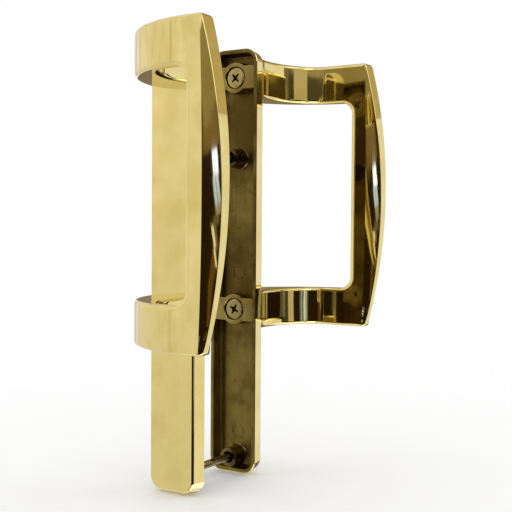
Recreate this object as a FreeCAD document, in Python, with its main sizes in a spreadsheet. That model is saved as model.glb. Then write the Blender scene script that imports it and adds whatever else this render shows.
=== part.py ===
import FreeCAD, Part
import math
import os

import Sketcher
from FreeCAD import Vector

# Sliding patio door handle set: an exterior and an interior half that mirror
# each other about the middle of the door, and two bolts that draw them together.
#
# Frame: origin at the middle of the door's thickness, on the upright centre line
# of the plates, halfway up them. +X runs along the door towards the grips, +Y goes
# through the door from outside to inside, +Z is up. All lengths are millimetres.
#
# Each half is modelled with its rim on the XZ plane of its own body, and its
# placement then sets that rim against its own face of the door. "Outward" is the
# direction away from the door: -Y on the exterior half, +Y on the interior half.

SIZES = {
    # the door that the two halves clamp
    "door_thickness": 47.5,
    # plate: a drafted tray, open towards the door, that reaches past its fixings
    "upper_end_margin": 15.7,
    "screw_to_bolt": 45.0,
    "bolt_spacing": 168.3,
    "lower_end_margin": 9.0,
    "plate_width": 30.5,
    "plate_depth": 8.4,
    "plate_draft": 9.0,
    "plate_corner": 8.0,
    "plate_wall": 2.2,
    "plate_floor": 2.2,
    "plate_edge_bevel": 1.4,
    # cross ribs and bosses inside the tray
    "rib_height": 12.8,
    "rib_drop": 0.7,
    "screw_boss_diameter": 17.2,
    "bolt_boss_diameter": 10.6,
    "bolt_boss_reach": 4.0,
    # screws that hold the pull to its plate, driven from inside the tray
    "screw_spacing": 130.0,
    "screw_head_diameter": 11.4,
    "screw_head_thickness": 2.6,
    "screw_head_play": 0.7,
    "screw_head_drop": 0.5,
    "screw_diameter": 4.8,
    "screw_length": 18.0,
    "screw_hole_play": 0.3,
    "upper_screw_turn": 45.0,
    "lower_screw_turn": 28.0,
    "screw_recess_span": 5.4,
    "screw_recess_slot": 1.3,
    "screw_recess_depth": 1.7,
    "bore_spare": 1.5,
    # bolts through the door
    "bolt_diameter": 4.2,
    "bolt_head_diameter": 8.4,
    "bolt_cone_slope": 45.0,
    "bolt_hole_diameter": 6.0,
    "bolt_floor_hole": 5.2,
    "bolt_engagement": 7.5,
    "thread_play": 0.1,
    # pull: two arms that sweep over to one side, and an upright grip between them
    "arm_height": 21.8,
    "foot_inset": 0.4,
    "pull_reach": 60.4,
    "sweep_end": 47.0,
    "throat_radius": 42.0,
    "hook_radius": 13.5,
    "hook_end": 31.0,
    "grip_thickness": 9.3,
    "grip_side": 46.0,
    "window_corner": 6.5,
    "grip_end_side": 55.8,
    "grip_bow": 10.4,
    "pull_edge_bevel": 1.2,
    "window_edge_bevel": 0.8,
    # facets: one hollow strip on either side of the grip's crest, deepest at its foot
    "facet_width": 9.4,
    "facet_end_width": 0.8,
    "facet_top_drop": 0.3,
    "facet_middle_drop": 1.2,
    "facet_bottom_drop": 3.0,
    "facet_hollow_share": 0.035,
    "facet_overrun": 1.3,
    "facet_clearance": 2.0,
}

doc = FreeCAD.newDocument("patio_door_handle")


def fill_sheet():
    """Write each driving dimension once, in a cell that carries its name."""
    sheet = doc.addObject("Spreadsheet::Sheet", "sizes")
    for row, (name, value) in enumerate(SIZES.items(), start=1):
        sheet.set(f"A{row}", name)
        sheet.set(f"B{row}", str(value))
        sheet.setAlias(f"B{row}", name)
    doc.recompute()
    return sheet


sheet = fill_sheet()

# which way is outward along Y on each half, and how near counts as touching
HALVES = {"exterior": -1, "interior": 1}
TOUCH = 0.01


def size(expression):
    """The number that an expression on the sheet's cells gives."""
    return float(sheet.evalExpression(expression.replace("sizes.", "")))


def new_body(label):
    body = doc.addObject("PartDesign::Body", label)
    body.Label = label
    return body


def plane_of(body, role):
    return next(item for item in body.Origin.OriginFeatures if item.Role == role)


def new_sketch(body, name, role="XZ_Plane", lift=None):
    """A sketch on one of the body's own planes, lifted along its normal."""
    sketch = body.newObject("Sketcher::SketchObject", f"{body.Label}_{name}")
    sketch.AttachmentSupport = [(plane_of(body, role), "")]
    sketch.MapMode = "FlatFace"
    if lift is not None:
        sketch.setExpression("AttachmentOffset.Base.z", lift)
    return sketch


def tie(sketch, kind, *where, to=None):
    """Add a constraint and, where `to` is given, bind its value to the sheet."""
    if to is None:
        sketch.addConstraint(Sketcher.Constraint(kind, *where))
        return
    index = sketch.addConstraint(Sketcher.Constraint(kind, *where, size(to)))
    sketch.setExpression(f"Constraints[{index}]", to)


def draw_circle(sketch, diameter, rise="0"):
    """A circle on the upright centre line, at a height given by `rise`."""
    circle = Part.Circle(Vector(0, size(rise), 0), Vector(0, 0, 1), size(diameter) / 2)
    index = sketch.addGeometry(circle)
    tie(sketch, "Diameter", index, to=diameter)
    tie(sketch, "PointOnObject", index, 3, -2)
    tie(sketch, "DistanceY", -1, 1, index, 3, to=rise)


def draw_outline(sketch, left, right, bottom, top, lower_corner=None, upper_corner=None):
    """A rectangle; a radius, where given, rounds its lower or its upper corners."""
    x0, x1, z0, z1 = size(left), size(right), size(bottom), size(top)
    low = size(lower_corner) if lower_corner else 0.0
    high = size(upper_corner) if upper_corner else 0.0
    quarter = math.pi / 2
    runs = []

    def side(x_from, z_from, x_to, z_to, kind):
        line = Part.LineSegment(Vector(x_from, z_from, 0), Vector(x_to, z_to, 0))
        runs.append(sketch.addGeometry(line))
        tie(sketch, kind, runs[-1])
        return runs[-1]

    def corner(x, z, radius, start):
        if radius:
            circle = Part.Circle(Vector(x, z, 0), Vector(0, 0, 1), radius)
            runs.append(sketch.addGeometry(Part.ArcOfCircle(circle, start, start + quarter)))
        return runs[-1]

    lower = side(x0 + low, z0, x1 - low, z0, "Horizontal")
    lower_right = corner(x1 - low, z0 + low, low, 3 * quarter)
    right_side = side(x1, z0 + low, x1, z1 - high, "Vertical")
    upper_right = corner(x1 - high, z1 - high, high, 0)
    upper = side(x1 - high, z1, x0 + high, z1, "Horizontal")
    upper_left = corner(x0 + high, z1 - high, high, quarter)
    left_side = side(x0, z1 - high, x0, z0 + low, "Vertical")
    lower_left = corner(x0 + low, z0 + low, low, 2 * quarter)

    arcs = {lower_right, upper_right, upper_left, lower_left} - {lower, right_side, upper, left_side}
    for one, other in zip(runs, runs[1:] + runs[:1]):
        kind = "Tangent" if one in arcs or other in arcs else "Coincident"
        tie(sketch, kind, one, 2, other, 1)
    if lower_corner:
        tie(sketch, "Equal", lower_right, lower_left)
        tie(sketch, "Radius", lower_right, to=lower_corner)
    if upper_corner:
        tie(sketch, "Equal", upper_right, upper_left)
        tie(sketch, "Radius", upper_right, to=upper_corner)
    tie(sketch, "DistanceX", -1, 1, left_side, 1, to=left)
    tie(sketch, "DistanceX", -1, 1, right_side, 1, to=right)
    tie(sketch, "DistanceY", -1, 1, lower, 1, to=bottom)
    tie(sketch, "DistanceY", -1, 1, upper, 1, to=top)


def extrude(body, kind, sketch, length, reverse, taper=None):
    """Pad or pocket a sketch by a bound length; `reverse` turns it round."""
    before = 0.0 if body.Shape.isNull() else body.Shape.Volume
    feature = body.newObject(f"PartDesign::{kind}", f"{sketch.Label}_{kind.lower()}")
    feature.Profile = sketch
    feature.setExpression("Length", length)
    feature.Reversed = reverse
    if taper is not None:
        feature.setExpression("TaperAngle", taper)
    doc.recompute()
    grown = body.Shape.Volume - before
    if (kind == "Pad") != (grown > 0):
        raise RuntimeError(f"{feature.Label} changes the volume by {grown:.1f}")


def bevel_edges(body, name, width, chosen):
    """Bevel the edges of the body's last shape that `chosen` picks."""
    base = body.Tip
    edges = [f"Edge{i}" for i, edge in enumerate(base.Shape.Edges, start=1) if chosen(edge)]
    bevel = body.newObject("PartDesign::Chamfer", f"{body.Label}_{name}")
    bevel.Base = (base, edges)
    bevel.setExpression("Size", width)
    doc.recompute()


def lies_at(edge, axis, value):
    box = edge.BoundBox
    low, high = {
        "x": (box.XMin, box.XMax),
        "y": (box.YMin, box.YMax),
        "z": (box.ZMin, box.ZMax),
    }[axis]
    return abs(low - value) < TOUCH and abs(high - value) < TOUCH


# Depths inside a plate are measured from its rim, outward. On the XZ plane a
# sketch's own normal is -Y, so the exterior half, which faces -Y, lifts its
# sketches by +depth and the interior half by -depth.
def depth(outward, expression):
    return f"{-outward} * ({expression})"


# Heights are measured from the middle of the plate, which reaches a margin past
# its upper screw and another past its lower bolt.
HALF_LENGTH = (
    "((sizes.upper_end_margin + sizes.screw_to_bolt + sizes.bolt_spacing"
    " + sizes.lower_end_margin) / 2)"
)
UPPER_SCREW_RISE = f"({HALF_LENGTH} - sizes.upper_end_margin)"
LOWER_SCREW_RISE = f"({UPPER_SCREW_RISE} - sizes.screw_spacing)"
UPPER_BOLT_RISE = f"({UPPER_SCREW_RISE} - sizes.screw_to_bolt)"
LOWER_BOLT_RISE = f"({UPPER_BOLT_RISE} - sizes.bolt_spacing)"
SCREW_RISES = {"upper": UPPER_SCREW_RISE, "lower": LOWER_SCREW_RISE}
BOLT_RISES = {"upper": UPPER_BOLT_RISE, "lower": LOWER_BOLT_RISE}
FLOOR_DEPTH = "(sizes.plate_depth - sizes.plate_floor)"
SEAT_DEPTH = "(sizes.rib_drop + sizes.screw_head_drop + sizes.screw_head_thickness)"


def shape_plate_casting(body, outward):
    """The drafted outer block with its round corners and bevelled front edge."""
    sketch = new_sketch(body, "rim")
    half_width = "sizes.plate_width / 2"
    draw_outline(
        sketch, f"-{half_width}", half_width, f"-{HALF_LENGTH}", HALF_LENGTH,
        "sizes.plate_corner", "sizes.plate_corner",
    )
    extrude(body, "Pad", sketch, "sizes.plate_depth", outward > 0, "-sizes.plate_draft")
    front = outward * size("sizes.plate_depth")
    bevel_edges(body, "front_edge", "sizes.plate_edge_bevel", lambda edge: lies_at(edge, "y", front))


def hollow_plate(body, outward):
    """Three open bays in the tray, parted by a cross rib at each screw."""
    inner_x = "(sizes.plate_width / 2 - sizes.plate_wall)"
    inner_z = f"({HALF_LENGTH} - sizes.plate_wall)"
    inner_corner = "(sizes.plate_corner - sizes.plate_wall)"
    half_rib = "sizes.rib_height / 2"
    upper, lower = SCREW_RISES["upper"], SCREW_RISES["lower"]

    sketch = new_sketch(body, "mouth")
    draw_outline(sketch, f"-{inner_x}", inner_x, f"-{inner_z}", inner_z, inner_corner, inner_corner)
    extrude(body, "Pocket", sketch, "sizes.rib_drop", outward < 0)

    bays = {
        "top_bay": (f"{upper} + {half_rib}", inner_z, None, inner_corner),
        "middle_bay": (f"{lower} + {half_rib}", f"{upper} - {half_rib}", None, None),
        "bottom_bay": (f"-{inner_z}", f"{lower} - {half_rib}", inner_corner, None),
    }
    for name, (bottom, top, lower_corner, upper_corner) in bays.items():
        sketch = new_sketch(body, name)
        draw_outline(sketch, f"-{inner_x}", inner_x, bottom, top, lower_corner, upper_corner)
        extrude(body, "Pocket", sketch, FLOOR_DEPTH, outward < 0, "-sizes.plate_draft")


def add_plate_bosses(body, outward):
    """Round bosses: broad ones on the ribs, and tubes that reach into the door."""
    sunk = "sizes.plate_floor / 2"
    for place, rise in SCREW_RISES.items():
        sketch = new_sketch(body, f"{place}_screw_boss", lift=depth(outward, "sizes.rib_drop"))
        draw_circle(sketch, "sizes.screw_boss_diameter", rise)
        extrude(body, "Pad", sketch, f"{FLOOR_DEPTH} - sizes.rib_drop + {sunk}", outward > 0)
    for place, rise in BOLT_RISES.items():
        sketch = new_sketch(body, f"{place}_bolt_boss", lift=depth(outward, "-sizes.bolt_boss_reach"))
        draw_circle(sketch, "sizes.bolt_boss_diameter", rise)
        extrude(body, "Pad", sketch, f"sizes.bolt_boss_reach + {FLOOR_DEPTH} + {sunk}", outward > 0)


def drill_screw_seats(body, outward):
    """A counterbore for each pull screw's head and a clear hole for its shank."""
    through = "sizes.plate_depth * 2"
    for place, rise in SCREW_RISES.items():
        seat = new_sketch(body, f"{place}_screw_seat")
        draw_circle(seat, "sizes.screw_head_diameter + 2 * sizes.screw_head_play", rise)
        extrude(body, "Pocket", seat, SEAT_DEPTH, outward < 0)
        hole = new_sketch(body, f"{place}_screw_hole")
        draw_circle(hole, "sizes.screw_diameter + 2 * sizes.screw_hole_play", rise)
        extrude(body, "Pocket", hole, through, outward < 0)


def tap_bolt_bosses(body, outward):
    """Blind threaded bores: the exterior plate's face stays whole."""
    for place, rise in BOLT_RISES.items():
        sketch = new_sketch(body, f"{place}_bolt_bore", lift=depth(outward, "-sizes.bolt_boss_reach"))
        draw_circle(sketch, "sizes.bolt_diameter + 2 * sizes.thread_play", rise)
        extrude(body, "Pocket", sketch, f"sizes.bolt_boss_reach + {FLOOR_DEPTH}", outward < 0)


def bore_bolt_bosses(body, outward):
    """Clear bores through the interior plate, with a cone seat for each bolt's head."""
    mouth = "(sizes.bolt_head_diameter + 2 * sizes.thread_play)"
    cone = f"({mouth} - sizes.bolt_floor_hole) / (2 * tan(sizes.bolt_cone_slope))"
    for place, rise in BOLT_RISES.items():
        bore = new_sketch(body, f"{place}_bolt_bore", lift=depth(outward, "-sizes.bolt_boss_reach"))
        draw_circle(bore, "sizes.bolt_hole_diameter", rise)
        extrude(body, "Pocket", bore, f"sizes.bolt_boss_reach + {FLOOR_DEPTH}", outward < 0)
        hole = new_sketch(body, f"{place}_bolt_hole")
        draw_circle(hole, "sizes.bolt_floor_hole", rise)
        extrude(body, "Pocket", hole, "2 * sizes.plate_depth", outward < 0)
        seat = new_sketch(body, f"{place}_bolt_seat", lift=depth(outward, "sizes.plate_depth"))
        draw_circle(seat, mouth, rise)
        extrude(body, "Pocket", seat, cone, outward > 0, "-sizes.bolt_cone_slope")


def make_plate(half, outward):
    body = new_body(f"{half}_plate")
    shape_plate_casting(body, outward)
    hollow_plate(body, outward)
    add_plate_bosses(body, outward)
    drill_screw_seats(body, outward)
    if outward < 0:
        tap_bolt_bosses(body, outward)
    else:
        bore_bolt_bosses(body, outward)
    body.setExpression("Placement.Base.y", f"{outward} * sizes.door_thickness / 2")
    return body


PULL_TOP = f"({UPPER_SCREW_RISE} + sizes.arm_height / 2)"
PULL_BOTTOM = f"({LOWER_SCREW_RISE} - sizes.arm_height / 2)"
WINDOW_TOP = f"({UPPER_SCREW_RISE} - sizes.arm_height / 2)"
WINDOW_BOTTOM = f"({LOWER_SCREW_RISE} + sizes.arm_height / 2)"
GRIP_FRONT = "sizes.pull_reach"
GRIP_BACK = "(sizes.pull_reach - sizes.grip_thickness)"
CREST_SIDE = "(sizes.grip_end_side + sizes.grip_bow)"
FOOT_HALF = "(sizes.plate_width / 2 - sizes.plate_depth * tan(sizes.plate_draft) - sizes.foot_inset)"


def add_line(sketch, start, end):
    """A straight run; gives its index and which ends are its first and last."""
    index = sketch.addGeometry(Part.LineSegment(Vector(*start, 0), Vector(*end, 0)))
    return index, 1, 2


def add_arc(sketch, start, end, centre):
    """The shorter arc from start to end about centre, as add_line gives it."""
    first = math.atan2(start[1] - centre[1], start[0] - centre[0])
    last = math.atan2(end[1] - centre[1], end[0] - centre[0])
    radius = math.dist(start, centre)
    circle = Part.Circle(Vector(*centre, 0), Vector(0, 0, 1), radius)
    if (last - first) % (2 * math.pi) < math.pi:
        return sketch.addGeometry(Part.ArcOfCircle(circle, first, last)), 1, 2
    return sketch.addGeometry(Part.ArcOfCircle(circle, last, first)), 2, 1


def join(sketch, kind, one, other):
    """Tie the last end of one run to the first end of the other."""
    tie(sketch, kind, one[0], one[2], other[0], other[1])


def draw_pull_plan(sketch, outward):
    """The pull from above: foot, outer sweep, grip and the hooked inner side."""
    foot, front, back = size("sizes.plate_depth"), size(GRIP_FRONT), size(GRIP_BACK)
    half, crest = size(FOOT_HALF), size(CREST_SIDE)
    sweep_x, hook_x = size("sizes.sweep_end"), size("sizes.hook_end")
    throat, hook = size("sizes.throat_radius"), size("sizes.hook_radius")

    # the outer sweep is tangent to the grip's front and runs into the foot's corner
    rise = front - foot
    sweep_radius = (rise ** 2 + (sweep_x + half) ** 2) / (2 * rise)
    # the throat's centre is one radius from the foot's corner and, as its arc runs
    # smoothly into the hook's, the difference of the radii from the hook's centre
    hook_y = back - hook
    gap_x, gap_y = hook_x - half, hook_y - foot
    gap = math.hypot(gap_x, gap_y)
    along = (throat ** 2 - (throat - hook) ** 2 + gap ** 2) / (2 * gap)
    aside = math.sqrt(throat ** 2 - along ** 2)
    throat_x = half + (along * gap_x + aside * gap_y) / gap
    throat_y = foot + (along * gap_y - aside * gap_x) / gap
    reach = throat / (throat - hook)
    meet_x = throat_x + (hook_x - throat_x) * reach
    meet_y = throat_y + (hook_y - throat_y) * reach

    def at(x, y):
        return x, outward * y

    sweep = add_arc(sketch, at(-half, foot), at(sweep_x, front), at(sweep_x, front - sweep_radius))
    front_run = add_line(sketch, at(sweep_x, front), at(crest, front))
    side_run = add_line(sketch, at(crest, front), at(crest, back))
    back_run = add_line(sketch, at(crest, back), at(hook_x, back))
    hook_arc = add_arc(sketch, at(hook_x, back), at(meet_x, meet_y), at(hook_x, hook_y))
    throat_arc = add_arc(sketch, at(meet_x, meet_y), at(half, foot), at(throat_x, throat_y))
    foot_run = add_line(sketch, at(half, foot), at(-half, foot))

    join(sketch, "Tangent", sweep, front_run)
    join(sketch, "Coincident", front_run, side_run)
    join(sketch, "Coincident", side_run, back_run)
    join(sketch, "Tangent", back_run, hook_arc)
    join(sketch, "Tangent", hook_arc, throat_arc)
    join(sketch, "Coincident", throat_arc, foot_run)
    join(sketch, "Coincident", foot_run, sweep)
    for run in (front_run, back_run, foot_run):
        tie(sketch, "Horizontal", run[0])
    tie(sketch, "Vertical", side_run[0])
    tie(sketch, "Radius", hook_arc[0], to="sizes.hook_radius")
    tie(sketch, "Radius", throat_arc[0], to="sizes.throat_radius")
    tie(sketch, "DistanceX", -1, 1, foot_run[0], 1, to=FOOT_HALF)
    tie(sketch, "DistanceX", -1, 1, foot_run[0], 2, to=f"-{FOOT_HALF}")
    tie(sketch, "DistanceX", -1, 1, front_run[0], 1, to="sizes.sweep_end")
    tie(sketch, "DistanceX", -1, 1, side_run[0], 1, to=CREST_SIDE)
    tie(sketch, "DistanceX", -1, 1, back_run[0], 2, to="sizes.hook_end")
    tie(sketch, "DistanceY", -1, 1, foot_run[0], 1, to=f"{outward} * sizes.plate_depth")
    tie(sketch, "DistanceY", -1, 1, front_run[0], 1, to=f"{outward} * {GRIP_FRONT}")
    tie(sketch, "DistanceY", -1, 1, back_run[0], 1, to=f"{outward} * {GRIP_BACK}")


def draw_bow(sketch):
    """What lies beyond the grip's bowed side, from its lower to its upper end."""
    side, crest = size("sizes.grip_end_side"), size(CREST_SIDE)
    bottom, top = size(PULL_BOTTOM), size(PULL_TOP)
    margin = size("sizes.grip_thickness")
    half = (top - bottom) / 2
    bow = crest - side
    radius = (half ** 2 + bow ** 2) / (2 * bow)
    centre = (crest - radius, (top + bottom) / 2)
    arc = add_arc(sketch, (side, bottom), (side, top), centre)
    upper = add_line(sketch, (side, top), (crest + margin, top))
    outer = add_line(sketch, (crest + margin, top), (crest + margin, bottom))
    lower = add_line(sketch, (crest + margin, bottom), (side, bottom))
    runs = [arc, upper, outer, lower]
    for one, other in zip(runs, runs[1:] + runs[:1]):
        join(sketch, "Coincident", one, other)
    tie(sketch, "Horizontal", upper[0])
    tie(sketch, "Vertical", outer[0])
    tie(sketch, "Horizontal", lower[0])
    tie(sketch, "DistanceX", -1, 1, upper[0], 1, to="sizes.grip_end_side")
    tie(sketch, "DistanceX", -1, 1, lower[0], 2, to="sizes.grip_end_side")
    tie(sketch, "DistanceX", -1, 1, outer[0], 1, to=f"{CREST_SIDE} + sizes.grip_thickness")
    tie(sketch, "DistanceY", -1, 1, upper[0], 1, to=PULL_TOP)
    tie(sketch, "DistanceY", -1, 1, lower[0], 1, to=PULL_BOTTOM)
    rise = f"({PULL_TOP} - {PULL_BOTTOM}) / 2"
    tie(sketch, "Radius", arc[0], to=f"(({rise}) ^ 2 + sizes.grip_bow ^ 2) / (2 * sizes.grip_bow)")


def draw_facet(sketch, outward, face, inward, side, width, drop):
    """A section of what lies beyond a facet, from the grip's face past its side."""
    level, clearance = size(face), size("sizes.facet_clearance")
    overrun, share = size("sizes.facet_overrun"), size("sizes.facet_hollow_share")
    edge = size(f"{side} - {width}")
    over, down = overrun * size(width), overrun * size(drop)
    chord = math.hypot(over, down)
    # the arc's centre lies outside the grip, square to the facet's chord
    radius = chord * (1 / 4 + share ** 2) / (2 * share)
    away = radius / chord - share
    centre = (edge + over / 2 + away * down, level + inward * (down / 2 - away * over))

    def at(x, y):
        return x, outward * y

    start = at(edge, level)
    end = at(edge + over, level + inward * down)
    far = at(edge + over, level - inward * clearance)
    near = at(edge, level - inward * clearance)
    facet = add_arc(sketch, start, end, at(*centre))
    beyond = add_line(sketch, end, far)
    cap = add_line(sketch, far, near)
    close = add_line(sketch, near, start)
    runs = [facet, beyond, cap, close]
    for one, other in zip(runs, runs[1:] + runs[:1]):
        join(sketch, "Coincident", one, other)
    tie(sketch, "Vertical", beyond[0])
    tie(sketch, "Horizontal", cap[0])
    tie(sketch, "Vertical", close[0])
    run = f"(sizes.facet_overrun * sqrt(({width}) ^ 2 + ({drop}) ^ 2))"
    bend = "(1 / 4 + sizes.facet_hollow_share ^ 2) / (2 * sizes.facet_hollow_share)"
    tie(sketch, "Radius", facet[0], to=f"{run} * {bend}")
    tie(sketch, "DistanceX", -1, 1, close[0], 1, to=f"{side} - {width}")
    tie(sketch, "DistanceX", -1, 1, beyond[0], 1, to=f"{side} + (sizes.facet_overrun - 1) * {width}")
    tie(sketch, "DistanceY", -1, 1, close[0], 2, to=f"{outward} * {face}")
    tie(
        sketch, "DistanceY", -1, 1, beyond[0], 1,
        to=f"{outward} * ({face} + {inward} * sizes.facet_overrun * {drop})",
    )
    tie(
        sketch, "DistanceY", -1, 1, cap[0], 1,
        to=f"{outward} * ({face} - {inward} * sizes.facet_clearance)",
    )


def cut_facet(body, name, outward, face, inward):
    """One hollow facet: a loft through its sections at the grip's ends and middle."""
    middle = f"({PULL_TOP} + {PULL_BOTTOM}) / 2"
    levels = {
        "bottom": (PULL_BOTTOM, "sizes.grip_end_side", "sizes.facet_end_width", "sizes.facet_bottom_drop"),
        "middle": (middle, CREST_SIDE, "sizes.facet_width", "sizes.facet_middle_drop"),
        "top": (PULL_TOP, "sizes.grip_end_side", "sizes.facet_end_width", "sizes.facet_top_drop"),
    }
    sections = []
    for place, (level, side, width, drop) in levels.items():
        sketch = new_sketch(body, f"{name}_{place}", "XY_Plane", lift=level)
        draw_facet(sketch, outward, face, inward, side, width, drop)
        sections.append(sketch)
    loft = body.newObject("PartDesign::SubtractiveLoft", f"{body.Label}_{name}")
    loft.Profile = sections[0]
    loft.Sections = sections[1:]
    doc.recompute()


def make_pull(half, outward):
    """One casting: two swept arms and a bowed grip with a facet to either side."""
    body = new_body(f"{half}_pull")
    height = f"{PULL_TOP} - {PULL_BOTTOM}"
    plan = new_sketch(body, "plan", "XY_Plane", lift=PULL_BOTTOM)
    draw_pull_plan(plan, outward)
    extrude(body, "Pad", plan, height, False)

    window = new_sketch(body, "window")
    draw_outline(
        window, "-sizes.plate_width", "sizes.grip_side", WINDOW_BOTTOM, WINDOW_TOP,
        "sizes.window_corner", "sizes.window_corner",
    )
    extrude(body, "Pocket", window, "2 * sizes.pull_reach", outward < 0)

    bow = new_sketch(body, "bow")
    draw_bow(bow)
    extrude(body, "Pocket", bow, "2 * sizes.pull_reach", outward < 0)

    foot = outward * size("sizes.plate_depth")
    ends = (size(PULL_TOP), size(PULL_BOTTOM))
    sills = (size(WINDOW_TOP), size(WINDOW_BOTTOM))
    inner_side = size("sizes.grip_side")
    corner = size("sizes.window_corner")

    def outlines_an_end(edge):
        return any(lies_at(edge, "z", level) for level in ends) and not lies_at(edge, "y", foot)

    def outlines_the_window(edge):
        box = edge.BoundBox
        across = box.XLength < TOUCH and box.ZLength < TOUCH
        if across or lies_at(edge, "y", foot):
            return False
        on_a_sill = any(lies_at(edge, "z", level) for level in sills)
        inside = min(sills) - TOUCH < box.ZMin and box.ZMax < max(sills) + TOUCH
        at_the_grip = inner_side - corner - TOUCH < box.XMin and box.XMax < inner_side + TOUCH
        return on_a_sill or (inside and at_the_grip)

    bevel_edges(body, "end_bevel", "sizes.pull_edge_bevel", outlines_an_end)
    bevel_edges(body, "window_bevel", "sizes.window_edge_bevel", outlines_the_window)
    for name, face, inward in (("front_facet", GRIP_FRONT, -1), ("back_facet", GRIP_BACK, 1)):
        cut_facet(body, name, outward, face, inward)

    for place, rise in SCREW_RISES.items():
        bore = new_sketch(body, f"{place}_screw_bore", lift=depth(outward, "sizes.plate_depth"))
        draw_circle(bore, "sizes.screw_diameter + 2 * sizes.thread_play", rise)
        bite = f"{SEAT_DEPTH} + sizes.screw_length + sizes.bore_spare - sizes.plate_depth"
        extrude(body, "Pocket", bore, bite, outward < 0)
    body.setExpression("Placement.Base.y", f"{outward} * sizes.door_thickness / 2")
    return body


def turn_profile(body, runs):
    """Turn a closed half-section about the body's Y axis; x is the radius."""
    sketch = new_sketch(body, "section", "XY_Plane")
    corners = [(size(radius), size(along)) for radius, along in runs]
    lines = [add_line(sketch, start, end) for start, end in zip(corners, corners[1:] + corners[:1])]
    for one, other in zip(lines, lines[1:] + lines[:1]):
        join(sketch, "Coincident", one, other)
    for line, (radius, along) in zip(lines, runs):
        tie(sketch, "DistanceX", -1, 1, line[0], 1, to=radius)
        tie(sketch, "DistanceY", -1, 1, line[0], 1, to=along)
    turned = body.newObject("PartDesign::Revolution", f"{body.Label}_turned")
    turned.Profile = sketch
    turned.ReferenceAxis = (sketch, ["V_Axis"])
    doc.recompute()


def cut_cross(body, level, outward):
    """A cross recess, sunk into a screw's head from `level`."""
    half_span, half_slot = "sizes.screw_recess_span / 2", "sizes.screw_recess_slot / 2"
    wings = {"level_slot": (half_span, half_slot), "upright_slot": (half_slot, half_span)}
    for name, (across, along) in wings.items():
        sketch = new_sketch(body, name, lift=depth(outward, level))
        draw_outline(sketch, f"-{across}", across, f"-{along}", along)
        extrude(body, "Pocket", sketch, "sizes.screw_recess_depth", outward < 0)


def make_pull_screw(half, outward, place):
    """A flat-headed screw; its body's origin is the middle of the head's seat."""
    body = new_body(f"{half}_pull_screw_{place}")
    head, shank = "sizes.screw_head_diameter / 2", "sizes.screw_diameter / 2"
    top, tip = "sizes.screw_head_thickness", "sizes.screw_length"
    turn_profile(body, [
        ("0", f"{-outward} * {top}"),
        (head, f"{-outward} * {top}"),
        (head, "0"),
        (shank, "0"),
        (shank, f"{outward} * {tip}"),
        ("0", f"{outward} * {tip}"),
    ])
    cut_cross(body, f"-{top}", outward)
    body.setExpression("Placement.Base.y", f"{outward} * (sizes.door_thickness / 2 + {SEAT_DEPTH})")
    body.setExpression("Placement.Base.z", SCREW_RISES[place])
    body.setExpression("Placement.Rotation.Axis.x", "0")
    body.setExpression("Placement.Rotation.Axis.y", "1")
    body.setExpression("Placement.Rotation.Axis.z", "0")
    body.setExpression("Placement.Rotation.Angle", f"sizes.{place}_screw_turn")
    return body


def make_through_bolt(place):
    """A flat countersunk bolt; its body's origin is the middle of the head's face."""
    body = new_body(f"through_bolt_{place}")
    head, shank = "sizes.bolt_head_diameter / 2", "sizes.bolt_diameter / 2"
    cone = f"({head} - {shank}) / tan(sizes.bolt_cone_slope)"
    reach = (
        "(sizes.plate_depth + sizes.door_thickness - sizes.bolt_boss_reach + sizes.bolt_engagement)"
    )
    turn_profile(body, [
        ("0", "0"),
        (head, "0"),
        (shank, f"-{cone}"),
        (shank, f"-{reach}"),
        ("0", f"-{reach}"),
    ])
    body.setExpression("Placement.Base.y", "sizes.door_thickness / 2 + sizes.plate_depth")
    body.setExpression("Placement.Base.z", BOLT_RISES[place])
    return body


def check(parts):
    """Stop unless every feature recomputed and every sub-part is one sound solid."""
    for item in doc.Objects:
        if "Invalid" in item.State or "Error" in item.State:
            raise RuntimeError(f"{item.Label} did not recompute")
    for part in parts:
        shape = part.Shape
        if shape.isNull() or not shape.isValid() or len(shape.Solids) != 1:
            raise RuntimeError(f"{part.Label} is not one sound solid")


def main():
    parts = []
    for half, outward in HALVES.items():
        parts.append(make_plate(half, outward))
        parts.append(make_pull(half, outward))
        for place in SCREW_RISES:
            parts.append(make_pull_screw(half, outward, place))
    for place in BOLT_RISES:
        parts.append(make_through_bolt(place))
    doc.recompute()
    check(parts)
    os.makedirs("parts", exist_ok=True)
    for part in parts:
        part.Shape.exportStep(f"parts/{part.Label}.step")
        print(part.Label, round(part.Shape.Volume), "mm3")


main()
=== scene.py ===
import math
from collections import namedtuple

import bmesh
import bpy
from mathutils import Matrix, Vector
from mathutils.geometry import tessellate_polygon


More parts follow.
